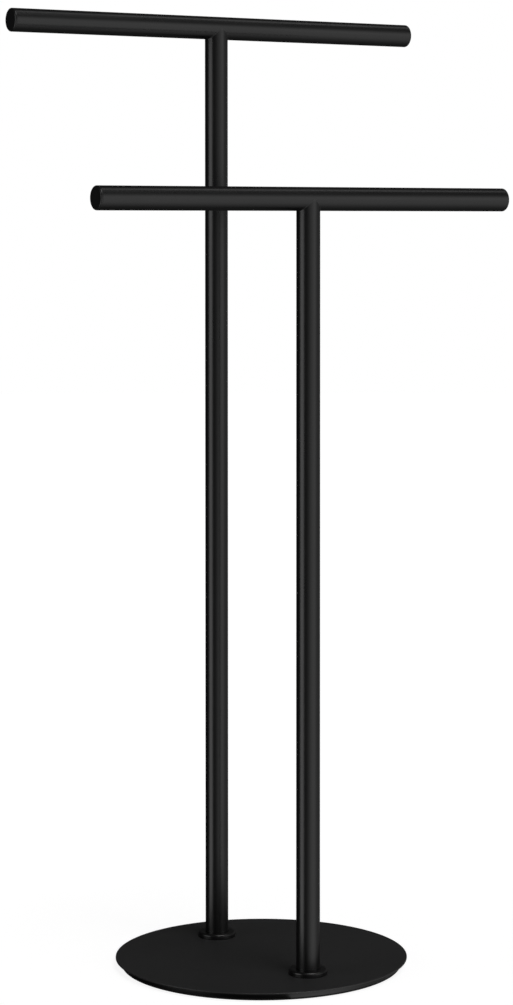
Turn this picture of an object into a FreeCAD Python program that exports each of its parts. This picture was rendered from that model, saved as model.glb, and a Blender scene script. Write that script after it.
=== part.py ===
"""Freestanding towel stand: two T-shaped frames of round tube on one round steel base.

Millimetres, +Z up. The origin is on the floor under the middle of the base. +X runs along the rails
and +Y points back, towards the taller frame.
"""
import FreeCAD, Part
import math
import os

import Sketcher
from FreeCAD import Placement, Rotation, Vector

# Each row of the size sheet: name, value, what it measures.
SIZES = (
    ("rear_height", 900.0, "floor to the top of the rear rail"),
    ("front_height", 734.5, "floor to the top of the front rail"),
    ("rail_length", 442.0, "end to end over both caps"),
    ("tube_diameter", 22.0, "outside of the tube of posts and rails"),
    ("tube_wall", 1.5, "wall of the tube of posts and rails"),
    ("base_diameter", 276.0, "outside of the base plate"),
    ("post_inset", 55.5, "each post's axis inside the plate's rim"),
    ("plate_thickness", 1.5, "base plate"),
    ("plate_top_radius", 0.6, "rounding of the plate's upper rim"),
    ("plate_bottom_radius", 0.4, "rounding of the plate's lower rim"),
    ("weight_thickness", 5.0, "steel weight under the base plate"),
    ("weight_inset", 5.5, "weight's rim inside the plate's rim"),
    ("weight_edge_radius", 0.5, "rounding of the weight's rims"),
    ("pad_thickness", 1.5, "pad under the weight"),
    ("pad_inset", 0.5, "pad's rim inside the weight's rim"),
    ("pad_access_margin", 4.0, "pad's screw openings, past the screw head's rim"),
    ("collar_diameter", 36.0, "outside of the foot collar"),
    ("collar_height", 5.0, "foot collar"),
    ("collar_edge_radius", 1.5, "rounding of the collar's upper rim"),
    ("collar_gap", 0.15, "collar to post, on the radius"),
    ("cope_gap", 0.05, "coped post top to rail, on the radius"),
    ("fit_gap", 0.05, "plug in tube, and screw in its thread, on the radius"),
    ("hole_gap", 0.2, "screw in its plain hole, on the radius"),
    ("cap_flange", 2.0, "cap outside the tube's end"),
    ("cap_edge_radius", 1.5, "rounding of the cap's rim"),
    ("cap_plug_length", 14.0, "cap inside the tube"),
    ("cap_wall", 1.6, "wall of the cap's plug"),
    ("cap_rib_height", 0.5, "ribs that hold the cap in the tube"),
    ("cap_rib_width", 2.0, "ribs, along the rail"),
    ("insert_length", 25.0, "tapped plug in the post's foot"),
    ("plug_chamfer", 0.8, "end edges of the steel plugs"),
    ("screw_diameter", 8.0, "thread of foot screws and head bolts"),
    ("thread_chamfer", 0.8, "end of each thread"),
    ("foot_screw_length", 25.0, "countersunk screw, over all"),
    ("foot_head_diameter", 16.0, "countersunk head"),
    ("foot_head_land", 0.4, "straight rim of the countersunk head"),
    ("foot_head_recess", 0.1, "countersunk head, inside the weight's underside"),
    ("foot_socket_width", 5.0, "hexagon socket of the foot screw, across flats"),
    ("foot_socket_depth", 2.8, "hexagon socket of the foot screw"),
    ("spigot_length", 40.0, "steel plug in the post's top, below the rail"),
    ("bolt_head_diameter", 13.0, "head bolt's head"),
    ("bolt_head_height", 8.0, "head bolt's head"),
    ("bolt_past_axis", 4.0, "head bolt's end, above the rail's axis"),
    ("bolt_socket_width", 6.0, "hexagon socket of the head bolt, across flats"),
    ("bolt_socket_depth", 4.0, "hexagon socket of the head bolt"),
    ("nut_length", 24.0, "round nut in the rail, along the rail"),
)

# Expressions that several pieces share.
TUBE_RADIUS = "sizes.tube_diameter / 2"
BORE_RADIUS = f"({TUBE_RADIUS} - sizes.tube_wall)"
PLUG_RADIUS = f"({BORE_RADIUS} - sizes.fit_gap)"
COPE_RADIUS = f"({TUBE_RADIUS} + sizes.cope_gap)"
THREAD_RADIUS = "sizes.screw_diameter / 2"
TAPPED_RADIUS = f"({THREAD_RADIUS} + sizes.fit_gap)"
PASSING_RADIUS = f"({THREAD_RADIUS} + sizes.hole_gap)"
FOOT_HEAD_RADIUS = "sizes.foot_head_diameter / 2"
COUNTERSINK_RADIUS = f"({FOOT_HEAD_RADIUS} + sizes.foot_head_land + sizes.foot_head_recess + sizes.fit_gap)"
WEIGHT_RADIUS = "(sizes.base_diameter / 2 - sizes.weight_inset)"
PLATE_BOTTOM = "(sizes.pad_thickness + sizes.weight_thickness)"
PLATE_TOP = f"({PLATE_BOTTOM} + sizes.plate_thickness)"
POST_OFFSET = "(sizes.base_diameter / 2 - sizes.post_inset)"

# Each frame: its name, where its post stands on Y, and the height of its rail's axis.
FRAMES = (
    ("rear", POST_OFFSET, f"(sizes.rear_height - {TUBE_RADIUS})"),
    ("front", f"-{POST_OFFSET}", f"(sizes.front_height - {TUBE_RADIUS})"),
)
# Each end of a rail: its name, its side along X, and the turn about Z that points its cap outwards.
RAIL_ENDS = (("right", "", 0), ("left", "-", 180))
CAP_RIBS = 3
HEXAGON = 6
COUNTERSINK_ANGLE = 90

# Sketcher's numbers for a sketch's own axes and for the end, start and centre of a curve.
HORIZONTAL, VERTICAL = -1, -2
START, END, CENTRE = 1, 2, 3


# ---- sheet, bodies and sketches -------------------------------------------------------------------

def make_sheet(doc):
    """Put every driving size in one sheet, as a name, a plain number and a note."""
    sheet = doc.addObject("Spreadsheet::Sheet", "sizes")
    for row, (name, value, note) in enumerate(SIZES, start=1):
        sheet.set(f"A{row}", name)
        sheet.set(f"B{row}", str(value))
        sheet.set(f"C{row}", note)
        sheet.setAlias(f"B{row}", name)
    doc.recompute()


def start_body(doc, label, x=None, y=None, z=None, turn=0):
    """Start a sub-part whose place follows the sheet, turned about Z by a number of degrees."""
    body = doc.addObject("PartDesign::Body", label)
    body.Label = label
    body.Placement = Placement(Vector(), Rotation(Vector(0, 0, 1), turn))
    for axis, place in (("x", x), ("y", y), ("z", z)):
        if place is not None:
            body.setExpression(f"Placement.Base.{axis}", place)
    return body


def start_sketch(body, name, role):
    """Attach a new sketch to one of the body's own origin planes."""
    plane = next(part for part in body.Origin.OriginFeatures if part.Role == role)
    sketch = body.newObject("Sketcher::SketchObject", f"{body.Label}_{name}")
    sketch.AttachmentSupport = (plane, [""])
    sketch.MapMode = "FlatFace"
    return sketch


def measure(sketch, expression):
    """Read an expression's present value, where None stands for zero."""
    return 0.0 if expression is None else float(sketch.evalExpression(expression))


def hold_point(sketch, curve, point, x, y):
    """Hold a curve's point at the expressions x and y; None keeps it on the sketch's axis."""
    for kind, axis, place in (("DistanceX", VERTICAL, x), ("DistanceY", HORIZONTAL, y)):
        if place is None:
            sketch.addConstraint(Sketcher.Constraint("PointOnObject", curve, point, axis))
        else:
            value = measure(sketch, place)
            rule = Sketcher.Constraint(kind, HORIZONTAL, START, curve, point, value)
            index = sketch.addConstraint(rule)
            sketch.setExpression(f"Constraints[{index}]", place)


def add_circle(sketch, radius, x=None, y=None):
    """Draw a circle whose radius and centre follow expressions."""
    size = measure(sketch, radius)
    centre = Vector(measure(sketch, x), measure(sketch, y), 0)
    curve = sketch.addGeometry(Part.Circle(centre, Vector(0, 0, 1), size), False)
    index = sketch.addConstraint(Sketcher.Constraint("Radius", curve, size))
    sketch.setExpression(f"Constraints[{index}]", radius)
    hold_point(sketch, curve, CENTRE, x, y)


def add_outline(sketch, points):
    """Join points, given as pairs of expressions, into one closed outline of straight lines."""
    places = [Vector(measure(sketch, x), measure(sketch, y), 0) for x, y in points]
    following = places[1:] + places[:1]
    for first, second in zip(places, following):
        sketch.addGeometry(Part.LineSegment(first, second), False)
    for line in range(len(points)):
        after = (line + 1) % len(points)
        sketch.addConstraint(Sketcher.Constraint("Coincident", line, END, after, START))
    for line, (x, y) in enumerate(points):
        hold_point(sketch, line, START, x, y)


# ---- features -------------------------------------------------------------------------------------

def pad(body, sketch, name, length, side="One side", down=False):
    """Raise a sketch into a solid."""
    feature = body.newObject("PartDesign::Pad", f"{body.Label}_{name}")
    feature.Profile = sketch
    feature.SideType = side
    feature.Reversed = down
    feature.setExpression("Length", length)
    return feature


def cut_through(body, sketch, name, side="Symmetric"):
    """Cut a sketch right through the solid, on both sides of it or against its normal only."""
    doc = body.Document
    doc.recompute()
    before = body.Shape.Volume
    feature = body.newObject("PartDesign::Pocket", f"{body.Label}_{name}")
    feature.Profile = sketch
    feature.SideType = side
    feature.Type = "ThroughAll"
    doc.recompute()
    if body.Shape.Volume >= before:
        raise RuntimeError(f"{feature.Label} cut nothing")
    return feature


def revolve(body, sketch, name, axis):
    """Turn a sketch once round one of its own axes."""
    feature = body.newObject("PartDesign::Revolution", f"{body.Label}_{name}")
    feature.Profile = sketch
    feature.ReferenceAxis = (sketch, [axis])
    feature.Angle = 360
    return feature


def cut_socket(body, name, width, depth):
    """Cut a hexagon socket up into the body's lowest face, at its origin."""
    feature = body.newObject("PartDesign::SubtractivePrism", f"{body.Label}_{name}")
    feature.Polygon = HEXAGON
    feature.setExpression("Circumradius", f"{width} / 2 / {math.cos(math.pi / HEXAGON)}")
    feature.setExpression("Height", depth)
    return feature


def dress_rims(body, kind, name, size, radius, heights, direction="z"):
    """Round or chamfer the circular edges of one radius that lie at the given heights.

    kind is Fillet or Chamfer; radius and heights are expressions, and direction is the
    coordinate, x or z, that the heights are measured along.
    """
    doc = body.Document
    doc.recompute()
    base = body.Tip
    wanted_radius = float(base.evalExpression(radius))
    wanted_heights = [0.0 if text is None else float(base.evalExpression(text)) for text in heights]
    names = []
    for number, edge in enumerate(base.Shape.Edges, start=1):
        if not isinstance(edge.Curve, Part.Circle):
            continue
        height = getattr(edge.Curve.Center, direction)
        same_size = abs(edge.Curve.Radius - wanted_radius) < 1e-4
        if same_size and any(abs(height - wanted) < 1e-4 for wanted in wanted_heights):
            names.append(f"Edge{number}")
    feature = body.newObject(f"PartDesign::{kind}", f"{body.Label}_{name}")
    feature.Base = (base, names)
    feature.setExpression("Radius" if kind == "Fillet" else "Size", size)
    doc.recompute()
    return feature


# ---- base -----------------------------------------------------------------------------------------

def make_base_plate(doc):
    """The thin steel disc on top, with a plain hole for each foot screw.

    The holes stay clear of the screws' heads even where the weight is thinner than a head is high.
    """
    body = start_body(doc, "base_plate", z=PLATE_BOTTOM)
    radius = "sizes.base_diameter / 2"
    disc = start_sketch(body, "disc", "XY_Plane")
    add_circle(disc, radius)
    for _, y, _ in FRAMES:
        add_circle(disc, f"max({PASSING_RADIUS}; {COUNTERSINK_RADIUS} - sizes.weight_thickness)", y=y)
    pad(body, disc, "thickness", "sizes.plate_thickness")
    dress_rims(body, "Fillet", "top_rim", "sizes.plate_top_radius", radius, ["sizes.plate_thickness"])
    dress_rims(body, "Fillet", "bottom_rim", "sizes.plate_bottom_radius", radius, [None])
    return body


def make_base_weight(doc):
    """The heavy steel disc under the plate, with a countersunk hole from below for each foot screw."""
    body = start_body(doc, "base_weight", z="sizes.pad_thickness")
    disc = start_sketch(body, "disc", "XY_Plane")
    add_circle(disc, WEIGHT_RADIUS)
    pad(body, disc, "thickness", "sizes.weight_thickness")
    dress_rims(body, "Fillet", "rims", "sizes.weight_edge_radius", WEIGHT_RADIUS,
               [None, "sizes.weight_thickness"])
    centres = start_sketch(body, "hole_centres", "XY_Plane")
    for _, y, _ in FRAMES:
        add_circle(centres, PASSING_RADIUS, y=y)
    doc.recompute()
    before = body.Shape.Volume
    holes = body.newObject("PartDesign::Hole", "base_weight_screw_holes")
    holes.Profile = centres
    holes.Reversed = True
    holes.DepthType = "ThroughAll"
    holes.HoleCutType = "Countersink"
    holes.HoleCutCountersinkAngle = COUNTERSINK_ANGLE
    holes.setExpression("Diameter", f"2 * {PASSING_RADIUS}")
    holes.setExpression("HoleCutDiameter", f"2 * {COUNTERSINK_RADIUS}")
    doc.recompute()
    if body.Shape.Volume >= before:
        raise RuntimeError("the screw holes cut nothing")
    return body


def make_base_pad(doc):
    """The thin pad that the stand rests on, open under each foot screw."""
    body = start_body(doc, "base_pad")
    disc = start_sketch(body, "disc", "XY_Plane")
    add_circle(disc, f"{WEIGHT_RADIUS} - sizes.pad_inset")
    for _, y, _ in FRAMES:
        add_circle(disc, f"{FOOT_HEAD_RADIUS} + sizes.pad_access_margin", y=y)
    pad(body, disc, "thickness", "sizes.pad_thickness")
    return body


# ---- foot of a post -------------------------------------------------------------------------------

def make_collar(doc, frame, y):
    """The low ring that stands on the plate round the post's foot."""
    body = start_body(doc, f"{frame}_foot_collar", y=y, z=PLATE_TOP)
    ring = start_sketch(body, "ring", "XY_Plane")
    add_circle(ring, "sizes.collar_diameter / 2")
    add_circle(ring, f"{TUBE_RADIUS} + sizes.collar_gap")
    pad(body, ring, "height", "sizes.collar_height")
    dress_rims(body, "Fillet", "rim", "sizes.collar_edge_radius",
               "sizes.collar_diameter / 2", ["sizes.collar_height"])
    return body


def make_foot_insert(doc, frame, y):
    """The tapped steel plug in the bottom of the post."""
    body = start_body(doc, f"{frame}_foot_insert", y=y, z=PLATE_TOP)
    section = start_sketch(body, "section", "XY_Plane")
    add_circle(section, PLUG_RADIUS)
    add_circle(section, TAPPED_RADIUS)
    pad(body, section, "length", "sizes.insert_length")
    dress_rims(body, "Chamfer", "ends", "sizes.plug_chamfer", PLUG_RADIUS, [None, "sizes.insert_length"])
    return body


def make_foot_screw(doc, frame, y):
    """The countersunk screw from under the weight, through the plate and into the insert."""
    lowest = "sizes.pad_thickness + sizes.foot_head_recess"
    body = start_body(doc, f"{frame}_foot_screw", y=y, z=lowest)
    neck = f"sizes.foot_head_land + {FOOT_HEAD_RADIUS} - {THREAD_RADIUS}"
    outline = start_sketch(body, "outline", "XZ_Plane")
    add_outline(outline, [
        (None, None),
        (FOOT_HEAD_RADIUS, None),
        (FOOT_HEAD_RADIUS, "sizes.foot_head_land"),
        (THREAD_RADIUS, neck),
        (THREAD_RADIUS, "sizes.foot_screw_length - sizes.thread_chamfer"),
        (f"{THREAD_RADIUS} - sizes.thread_chamfer", "sizes.foot_screw_length"),
        (None, "sizes.foot_screw_length"),
    ])
    revolve(body, outline, "turning", "V_Axis")
    cut_socket(body, "socket", "sizes.foot_socket_width", "sizes.foot_socket_depth")
    return body


# ---- post and rail --------------------------------------------------------------------------------

def make_post(doc, frame, y, axis_height):
    """The upright tube, square at the foot and coped round the rail at the top."""
    body = start_body(doc, f"{frame}_post", y=y, z=PLATE_TOP)
    length = f"{axis_height} - {PLATE_TOP}"
    section = start_sketch(body, "section", "XY_Plane")
    add_circle(section, TUBE_RADIUS)
    add_circle(section, BORE_RADIUS)
    pad(body, section, "length", length)
    cope = start_sketch(body, "cope", "YZ_Plane")
    add_circle(cope, COPE_RADIUS, y=length)
    cut_through(body, cope, "mouth")
    return body


def make_rail(doc, frame, y, axis_height):
    """The level tube, with one hole in its underside for the head bolt."""
    body = start_body(doc, f"{frame}_rail", y=y, z=axis_height)
    section = start_sketch(body, "section", "YZ_Plane")
    add_circle(section, TUBE_RADIUS)
    add_circle(section, BORE_RADIUS)
    pad(body, section, "length", "sizes.rail_length - 2 * sizes.cap_flange", side="Symmetric")
    hole = start_sketch(body, "hole", "XY_Plane")
    add_circle(hole, PASSING_RADIUS)
    cut_through(body, hole, "bolt_hole", side="One side")
    return body


def make_cap(doc, frame, y, axis_height, end, side, turn):
    """The cap that closes one end of the rail: a rounded disc on a hollow ribbed plug."""
    x = f"{side}(sizes.rail_length / 2 - sizes.cap_flange)"
    body = start_body(doc, f"{frame}_rail_{end}_cap", x=x, y=y, z=axis_height, turn=turn)
    skirt = f"{PLUG_RADIUS} - sizes.cap_rib_height"
    inside = f"{skirt} - sizes.cap_wall"
    points = [
        (None, None),
        ("sizes.cap_flange", None),
        ("sizes.cap_flange", TUBE_RADIUS),
        (None, TUBE_RADIUS),
        (None, skirt),
    ]
    for rib in range(1, CAP_RIBS + 1):
        crest = f"-sizes.cap_plug_length * {rib} / {CAP_RIBS + 1}"
        points += [(crest, skirt), (crest, PLUG_RADIUS), (f"{crest} - sizes.cap_rib_width", skirt)]
    points += [("-sizes.cap_plug_length", skirt), ("-sizes.cap_plug_length", inside), (None, inside)]
    outline = start_sketch(body, "outline", "XZ_Plane")
    add_outline(outline, points)
    revolve(body, outline, "turning", "H_Axis")
    dress_rims(body, "Fillet", "rim", "sizes.cap_edge_radius", TUBE_RADIUS, ["sizes.cap_flange"], "x")
    return body


# ---- head of a post -------------------------------------------------------------------------------

def make_spigot(doc, frame, y, axis_height):
    """The drilled steel plug in the top of the post, coped like the post."""
    body = start_body(doc, f"{frame}_head_spigot", y=y, z=axis_height)
    depth = f"{TUBE_RADIUS} + sizes.spigot_length"
    section = start_sketch(body, "section", "XY_Plane")
    add_circle(section, PLUG_RADIUS)
    add_circle(section, PASSING_RADIUS)
    pad(body, section, "length", depth, down=True)
    cope = start_sketch(body, "cope", "YZ_Plane")
    add_circle(cope, COPE_RADIUS)
    cut_through(body, cope, "mouth")
    dress_rims(body, "Chamfer", "end", "sizes.plug_chamfer", PLUG_RADIUS, [f"-({depth})"])
    return body


def make_head_bolt(doc, frame, y, axis_height):
    """The socket bolt up through the spigot and the rail's underside into the nut."""
    bearing = f"{axis_height} - {TUBE_RADIUS} - sizes.spigot_length"
    body = start_body(doc, f"{frame}_head_bolt", y=y, z=f"{bearing} - sizes.bolt_head_height")
    top = f"sizes.bolt_head_height + sizes.spigot_length + {TUBE_RADIUS} + sizes.bolt_past_axis"
    outline = start_sketch(body, "outline", "XZ_Plane")
    add_outline(outline, [
        (None, None),
        ("sizes.bolt_head_diameter / 2", None),
        ("sizes.bolt_head_diameter / 2", "sizes.bolt_head_height"),
        (THREAD_RADIUS, "sizes.bolt_head_height"),
        (THREAD_RADIUS, f"{top} - sizes.thread_chamfer"),
        (f"{THREAD_RADIUS} - sizes.thread_chamfer", top),
        (None, top),
    ])
    revolve(body, outline, "turning", "V_Axis")
    cut_socket(body, "socket", "sizes.bolt_socket_width", "sizes.bolt_socket_depth")
    return body


def make_rail_nut(doc, frame, y, axis_height):
    """The round nut inside the rail, tapped across for the head bolt."""
    body = start_body(doc, f"{frame}_rail_nut", y=y, z=axis_height)
    section = start_sketch(body, "section", "YZ_Plane")
    add_circle(section, PLUG_RADIUS)
    pad(body, section, "length", "sizes.nut_length", side="Symmetric")
    dress_rims(body, "Chamfer", "ends", "sizes.plug_chamfer", PLUG_RADIUS,
               ["sizes.nut_length / 2", "-sizes.nut_length / 2"], "x")
    thread = start_sketch(body, "thread", "XY_Plane")
    add_circle(thread, TAPPED_RADIUS)
    cut_through(body, thread, "tapping")
    return body


# ---- whole stand ----------------------------------------------------------------------------------

def make_frame(doc, frame, y, axis_height):
    """One post with its rail, and everything that holds the two together and to the base."""
    bodies = [
        make_collar(doc, frame, y),
        make_foot_insert(doc, frame, y),
        make_foot_screw(doc, frame, y),
        make_post(doc, frame, y, axis_height),
        make_rail(doc, frame, y, axis_height),
        make_spigot(doc, frame, y, axis_height),
        make_head_bolt(doc, frame, y, axis_height),
        make_rail_nut(doc, frame, y, axis_height),
    ]
    for end, side, turn in RAIL_ENDS:
        bodies.append(make_cap(doc, frame, y, axis_height, end, side, turn))
    return bodies


def check(doc, bodies):
    """Stop if any object failed to build, or if a sub-part isn't one valid solid."""
    failed = [part.Label for part in doc.Objects if {"Invalid", "Error"} & set(part.State)]
    if failed:
        raise RuntimeError(f"failed: {failed}")
    for body in bodies:
        shape = body.Shape
        if shape.isNull() or not shape.isValid() or len(shape.Solids) != 1:
            raise RuntimeError(f"{body.Label} is not one valid solid")


def main():
    """Build the stand and write one STEP file for each sub-part."""
    doc = FreeCAD.newDocument("towel_stand")
    make_sheet(doc)
    bodies = [make_base_plate(doc), make_base_weight(doc), make_base_pad(doc)]
    for frame, y, axis_height in FRAMES:
        bodies += make_frame(doc, frame, y, axis_height)
    doc.recompute()
    check(doc, bodies)
    os.makedirs("parts", exist_ok=True)
    for body in bodies:
        body.Shape.exportStep(f"parts/{body.Label}.step")
        box = body.Shape.optimalBoundingBox()
        spans = f"{box.XLength:.2f} x {box.YLength:.2f} x {box.ZLength:.2f} mm"
        print(f"{body.Label}: {spans}, {body.Shape.Volume / 1000:.2f} cm3")


main()
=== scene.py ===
"""Freestanding towel stand: its dressed pieces, a plain studio and the camera.

Metres, +Z up. The origin is on the floor under the middle of the base, +X runs along the rails and
+Y points back, towards the taller frame. Lengths of detail are written in millimetres times MM.
"""

import logging
import math
from abc import ABC, abstractmethod
from collections.abc import Callable, Iterable, Sequence
from dataclasses import dataclass
from enum import Enum
from typing import ClassVar

import bmesh
import bpy
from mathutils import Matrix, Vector


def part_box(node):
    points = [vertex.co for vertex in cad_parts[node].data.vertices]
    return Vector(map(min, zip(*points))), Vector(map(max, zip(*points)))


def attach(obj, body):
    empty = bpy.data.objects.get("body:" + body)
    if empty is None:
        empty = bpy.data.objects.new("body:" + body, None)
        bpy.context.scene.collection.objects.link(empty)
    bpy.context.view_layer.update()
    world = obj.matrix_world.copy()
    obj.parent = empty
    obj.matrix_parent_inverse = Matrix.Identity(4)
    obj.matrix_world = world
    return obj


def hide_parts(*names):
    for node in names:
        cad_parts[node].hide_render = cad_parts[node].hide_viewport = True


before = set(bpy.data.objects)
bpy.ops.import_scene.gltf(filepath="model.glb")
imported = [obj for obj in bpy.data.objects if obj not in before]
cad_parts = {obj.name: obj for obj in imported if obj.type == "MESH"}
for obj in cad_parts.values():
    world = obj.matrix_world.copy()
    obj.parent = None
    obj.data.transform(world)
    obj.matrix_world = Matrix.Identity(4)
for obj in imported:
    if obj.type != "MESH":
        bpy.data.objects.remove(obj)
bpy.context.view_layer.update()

LOG = logging.getLogger("towel stand")
BODY = "root"
MM = 0.001

Point = tuple[float, float]
Span = tuple[float, float]
Colour = tuple[float, float, float, float]
Ring = list[bmesh.types.BMVert]
Placer = Callable[[float, float, float], Vector]
Socket = bpy.types.NodeSocket
Sockets = bpy.types.NodeOutputs


class Side(Enum):
    """The two T-shaped frames, by the word that their CAD nodes start with."""

    REAR = "rear"
    FRONT = "front"


class End(Enum):
    """The two ends of a rail. The value is the end's direction along X."""

    LEFT = -1.0
    RIGHT = 1.0


class Slot(Enum):
    """The record's material slots."""

    BLACK_COAT = "black_coat"
    CAP_PLASTIC = "cap_plastic"
    PAD_RUBBER = "pad_rubber"
    PLATED_STEEL = "plated_steel"


def grey(level: float) -> Colour:
    """A neutral opaque colour of that linear level."""
    return (level, level, level, 1.0)


# ---- shader nodes ----

class NodeBench:
    """Adds, sets and links the nodes of one shader tree.

    Args:
        tree: The material's, world's or group's node tree.
    """

    def __init__(self, tree: bpy.types.NodeTree) -> None:
        """Keeps the tree to work on."""
        self.tree = tree

    def add(
        self, kind: str, inputs: dict[str | int, object] | None = None, **settings: object
    ) -> bpy.types.Node:
        """Adds one node.

        Args:
            kind: The node's type name, after ShaderNode.
            inputs: Constants to set or sockets to link, by the name or the number of the input.
            settings: Attributes of the node itself.

        Returns:
            The new node.
        """
        node = self.tree.nodes.new(f"ShaderNode{kind}")
        for name, value in settings.items():
            setattr(node, name, value)
        for name, value in (inputs or {}).items():
            self.feed(node.inputs[name], value)
        return node

    def feed(self, socket: Socket, value: object) -> None:
        """Links or sets one input.

        Args:
            socket: The input.
            value: A socket to link to it, or a constant to set it to.
        """
        if isinstance(value, Socket):
            self.tree.links.new(value, socket)
        else:
            socket.default_value = value

    def math(self, operation: str, *values: object, clamp: bool = False) -> Socket:
        """Adds a Math node.

        Args:
            operation: What it does, such as MULTIPLY.
            values: Its one to three operands, numbers or sockets.
            clamp: Whether its result is kept between 0 and 1.

        Returns:
            The result's socket.
        """
        inputs = dict(enumerate(values))
        return self.add("Math", inputs, operation=operation, use_clamp=clamp).outputs[0]

    def remap(self, value: object, source: Span, target: Span = (0.0, 1.0)) -> Socket:
        """Maps one span of values to another, smoothly and clamped.

        Args:
            value: The value, a socket.
            source: Where the value's span starts and ends.
            target: What these two become.

        Returns:
            The result's socket.
        """
        names = ("From Min", "From Max", "To Min", "To Max")
        inputs = {"Value": value} | dict(zip(names, source + target))
        return self.add("MapRange", inputs, interpolation_type="SMOOTHSTEP").outputs["Result"]

    def mix(self, factor: object, first: object, second: object) -> Socket:
        """Mixes two colours.

        Args:
            factor: 0 gives the first colour and 1 the second.
            first: The one colour, a socket or a constant.
            second: The other.

        Returns:
            The mixed colour's socket.
        """
        node = self.add("Mix", data_type="RGBA")
        sockets = [socket for socket in node.inputs if socket.enabled]
        for socket, value in zip(sockets, (factor, first, second)):
            self.feed(socket, value)
        return next(socket for socket in node.outputs if socket.enabled)

    def noise(self, scale: object, detail: float, where: object) -> Socket:
        """A noise value between 0 and 1, with its scale in cells per metre."""
        node = self.add("TexNoise", {"Vector": where, "Scale": scale, "Detail": detail})
        return node.outputs["Fac"]

    def dot(self, first: object, second: object) -> Socket:
        """Multiplies two directions: 1 where they agree, 0 where they are square to each other."""
        return self.add("VectorMath", {0: first, 1: second}, operation="DOT_PRODUCT").outputs["Value"]

    def position(self) -> Socket:
        """The point on the object in its own frame, which is the row's frame here."""
        return self.add("TexCoord").outputs["Object"]


class Effect(ABC):
    """A shader node group that several finishes share. It is built once and placed in each of them."""

    title: ClassVar[str]
    inputs: ClassVar[dict[str, float]]
    outputs: ClassVar[tuple[str, ...]]

    def __init__(self) -> None:
        """Builds the group with its named inputs and outputs."""
        self.tree = bpy.data.node_groups.new(self.title, "ShaderNodeTree")
        for name, value in self.inputs.items():
            socket = self.tree.interface.new_socket(name, in_out="INPUT", socket_type="NodeSocketFloat")
            socket.default_value = value
        for name in self.outputs:
            self.tree.interface.new_socket(name, in_out="OUTPUT", socket_type="NodeSocketFloat")
        bench = NodeBench(self.tree)
        given = self.tree.nodes.new("NodeGroupInput")
        result = self.tree.nodes.new("NodeGroupOutput")
        for name, value in self.wire(bench, given.outputs).items():
            bench.feed(result.inputs[name], value)

    @abstractmethod
    def wire(self, bench: NodeBench, given: Sockets) -> dict[str, object]:
        """Adds the group's nodes.

        Args:
            bench: The group's tree.
            given: The group's inputs, by name.

        Returns:
            What each output puts out, by name.
        """


class SurfaceGrain(Effect):
    """Fine relief such as orange peel or moulded grain, with slow patches of more and less gloss."""

    title = "surface grain"
    inputs = {"Cells": 700.0, "Patches": 14.0}
    outputs = ("Height", "Mottle")
    coarse_cells = 0.31
    fine_share = 0.45
    coarse_share = 0.55
    patch_span = (0.3, 0.7)

    def wire(self, bench: NodeBench, given: Sockets) -> dict[str, object]:
        """Adds a fine and a coarse noise for the relief, and a slow one for the gloss.

        Args:
            bench: The group's tree.
            given: Cells of the relief and Patches of gloss, both per metre.

        Returns:
            The relief's Height and the gloss's Mottle, from 0 to 1.
        """
        where = bench.position()
        fine = bench.noise(given["Cells"], detail=2.0, where=where)
        cells = bench.math("MULTIPLY", given["Cells"], self.coarse_cells)
        coarse = bench.noise(cells, detail=1.0, where=where)
        shares = (
            bench.math("MULTIPLY", fine, self.fine_share),
            bench.math("MULTIPLY", coarse, self.coarse_share),
        )
        patches = bench.noise(given["Patches"], detail=3.0, where=where)
        return {"Height": bench.math("ADD", *shares), "Mottle": bench.remap(patches, self.patch_span)}


class EdgeWear(Effect):
    """A mask of the outer edges, where a coat lies thinner and hands and cloth rub it smooth."""

    title = "edge wear"
    inputs = {"Width": 1.2 * MM, "Breakup": 90.0}
    outputs = ("Mask",)
    bevel_samples = 4
    edge_span = (0.999, 0.93)
    breakup_span = (0.35, 0.6)
    breakup_range = (0.35, 1.0)

    def wire(self, bench: NodeBench, given: Sockets) -> dict[str, object]:
        """Finds an edge where a rounded normal leaves the true one, and breaks it up by noise.

        Args:
            bench: The group's tree.
            given: The edge's Width, and the cells of its Breakup per metre.

        Returns:
            The edges' Mask.
        """
        bevel = bench.add("Bevel", {"Radius": given["Width"]}, samples=self.bevel_samples)
        true = bench.add("NewGeometry").outputs["Normal"]
        turn = bench.remap(bench.dot(bevel.outputs["Normal"], true), self.edge_span)
        noise = bench.noise(given["Breakup"], detail=3.0, where=bench.position())
        breakup = bench.remap(noise, self.breakup_span, self.breakup_range)
        return {"Mask": bench.math("MULTIPLY", turn, breakup)}


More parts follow.
